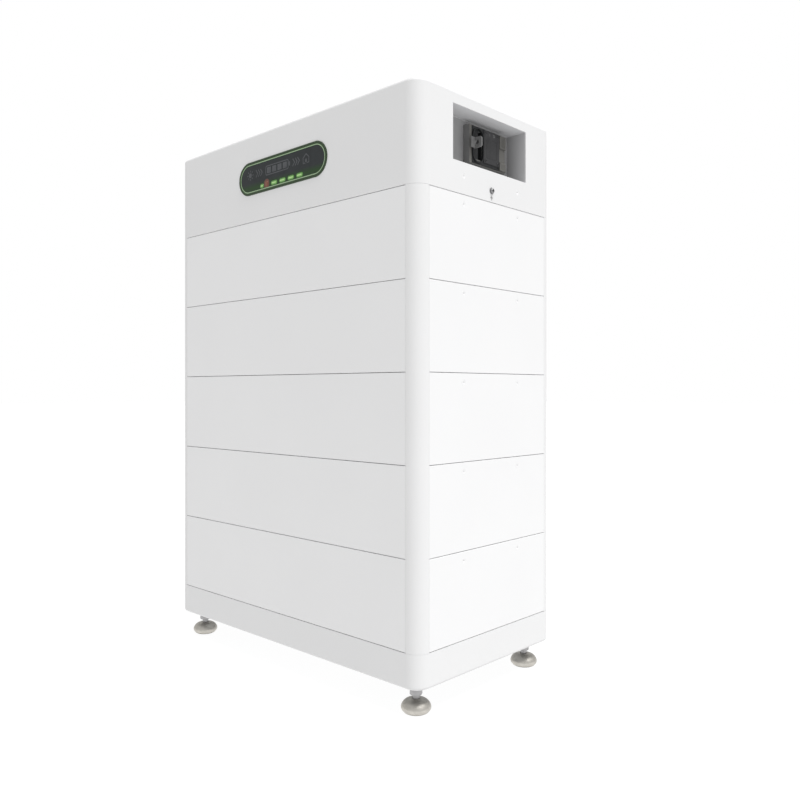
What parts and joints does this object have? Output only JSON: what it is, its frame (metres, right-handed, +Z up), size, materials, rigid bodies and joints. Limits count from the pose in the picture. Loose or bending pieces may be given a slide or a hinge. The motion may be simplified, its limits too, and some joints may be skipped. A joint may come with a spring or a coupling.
{
  "type": "stacked battery unit",
  "caption": "White floor-standing stack of slim battery modules on a plinth with levelling feet, under a head with a lit oval display and a recessed breaker.",
  "frame": {"origin": "on the floor, under the middle of the stack", "axes": "+Z up, -Y the front with the display, +X the side with the breaker"},
  "size_m": [0.7, 0.3846, 1.0213],
  "materials": {
    "frame_white": "fine-textured satin powder coat",
    "panel_white": "fine-textured satin powder coat",
    "foot_nickel": "satin nickel plate",
    "zinc_steel": "zinc plate",
    "black_steel": "black zinc plate",
    "galvanised_sheet": "galvanised sheet",
    "recess_grey": "satin powder coat",
    "black_plastic": "fine moulded grain",
    "dark_grey_plastic": "fine moulded grain",
    "light_grey_plastic": "fine moulded grain",
    "beige_grey_plastic": "fine moulded grain",
    "green_light": "lit translucent plastic",
    "red_light": "lit translucent plastic",
    "rubber": "matt",
    "cell_blue": "film-wrapped aluminium can",
    "circuit_board": "solder mask",
    "copper": null,
    "orange_plastic": "moulded",
    "button_metal": "turned stainless steel",
    "fuse_ceramic": "ceramic body"
  },
  "bodies": {
    "root": {"base_frame": "galvanised_sheet", "base_skirt": "frame_white", "bms_boards": "circuit_board", "breaker_body": "beige_grey_plastic", "breaker_faceplate": "dark_grey_plastic", "breaker_fascia": "black_plastic", "breaker_screws": "black_steel", "breaker_terminal_covers": "beige_grey_plastic", "breaker_tub": "recess_grey", "button_housing": "black_plastic", "cell_busbars": "copper", "comm_ports": "black_plastic", "connector_tub": "recess_grey", "contactors": "dark_grey_plastic", "corner_post_front_left": "frame_white", "corner_post_front_right": "frame_white", "corner_post_rear_left": "frame_white", "corner_post_rear_right": "frame_white", "display_bezel": "black_plastic", "display_window": "black_plastic", "earth_screw": "black_steel", "foot_lock_nuts": "zinc_steel", "green_leds": "green_light", "head_base_plate": "galvanised_sheet", "head_boards": "circuit_board", "head_shell": "frame_white", "light_ring": "green_light", "link_connectors": "black_plastic", "main_fuse": "fuse_ceramic", "module_1_case": "panel_white", "module_1_cells": "cell_blue", "module_1_lid": "galvanised_sheet", "module_2_case": "panel_white", "module_2_cells": "cell_blue", "module_2_lid": "galvanised_sheet", "module_3_case": "panel_white", "module_3_cells": "cell_blue", "module_3_lid": "galvanised_sheet", "module_4_case": "panel_white", "module_4_cells": "cell_blue", "module_4_lid": "galvanised_sheet", "module_5_case": "panel_white", "module_5_cells": "cell_blue", "module_5_lid": "galvanised_sheet", "power_sockets": "orange_plastic", "red_led": "red_light", "side_screws": "panel_white", "stacking_pads": "rubber", "tie_inserts": "zinc_steel"},
    "foot_pad_front_left": {"foot_pad_front_left": "foot_nickel"},
    "foot_stem_front_left": {"foot_stem_front_left": "foot_nickel"},
    "foot_pad_front_right": {"foot_pad_front_right": "foot_nickel"},
    "foot_stem_front_right": {"foot_stem_front_right": "foot_nickel"},
    "foot_pad_rear_left": {"foot_pad_rear_left": "foot_nickel"},
    "foot_stem_rear_left": {"foot_stem_rear_left": "foot_nickel"},
    "foot_pad_rear_right": {"foot_pad_rear_right": "foot_nickel"},
    "foot_stem_rear_right": {"foot_stem_rear_right": "foot_nickel"},
    "breaker_lever": {"breaker_lever": "black_plastic", "lever_tab": "light_grey_plastic"},
    "power_button": {"power_button": "button_metal"}
  },
  "joints": [
    {"name": "foot_height_front_left", "type": "slide", "parent": "root", "child": "foot_pad_front_left", "axis": [0, 0, -1], "range_m": [0, 0.02]},
    {"name": "foot_spin_front_left", "type": "hinge", "parent": "foot_pad_front_left", "child": "foot_stem_front_left", "pos_m": [-0.3095, -0.153, 0.0225], "axis": [0, 0, 1], "range_deg": [0, 4115]},
    {"name": "foot_height_front_right", "type": "slide", "parent": "root", "child": "foot_pad_front_right", "axis": [0, 0, -1], "range_m": [0, 0.02]},
    {"name": "foot_spin_front_right", "type": "hinge", "parent": "foot_pad_front_right", "child": "foot_stem_front_right", "pos_m": [0.3095, -0.153, 0.0225], "axis": [0, 0, 1], "range_deg": [0, 4115]},
    {"name": "foot_height_rear_left", "type": "slide", "parent": "root", "child": "foot_pad_rear_left", "axis": [0, 0, -1], "range_m": [0, 0.02]},
    {"name": "foot_spin_rear_left", "type": "hinge", "parent": "foot_pad_rear_left", "child": "foot_stem_rear_left", "pos_m": [-0.3095, 0.153, 0.0225], "axis": [0, 0, 1], "range_deg": [0, 4115]},
    {"name": "foot_height_rear_right", "type": "slide", "parent": "root", "child": "foot_pad_rear_right", "axis": [0, 0, -1], "range_m": [0, 0.02]},
    {"name": "foot_spin_rear_right", "type": "hinge", "parent": "foot_pad_rear_right", "child": "foot_stem_rear_right", "pos_m": [0.3095, 0.153, 0.0225], "axis": [0, 0, 1], "range_deg": [0, 4115]},
    {"name": "breaker_throw", "type": "hinge", "parent": "root", "child": "breaker_lever", "pos_m": [0.306, -0.005, 0.9568], "axis": [0, 0, 1], "range_deg": [0, 35]},
    {"name": "power_button_press", "type": "slide", "parent": "root", "child": "power_button", "axis": [1, 0, 0], "range_m": [0, 0.002], "stiffness_N_per_m": 800, "springref_m": -0.002}
  ],
  "couplings": [
    {"joint": "foot_spin_front_left", "follows": "foot_height_front_left", "rad_per_m": 3590.4},
    {"joint": "foot_spin_front_right", "follows": "foot_height_front_right", "rad_per_m": 3590.4},
    {"joint": "foot_spin_rear_left", "follows": "foot_height_rear_left", "rad_per_m": 3590.4},
    {"joint": "foot_spin_rear_right", "follows": "foot_height_rear_right", "rad_per_m": 3590.4}
  ]
}
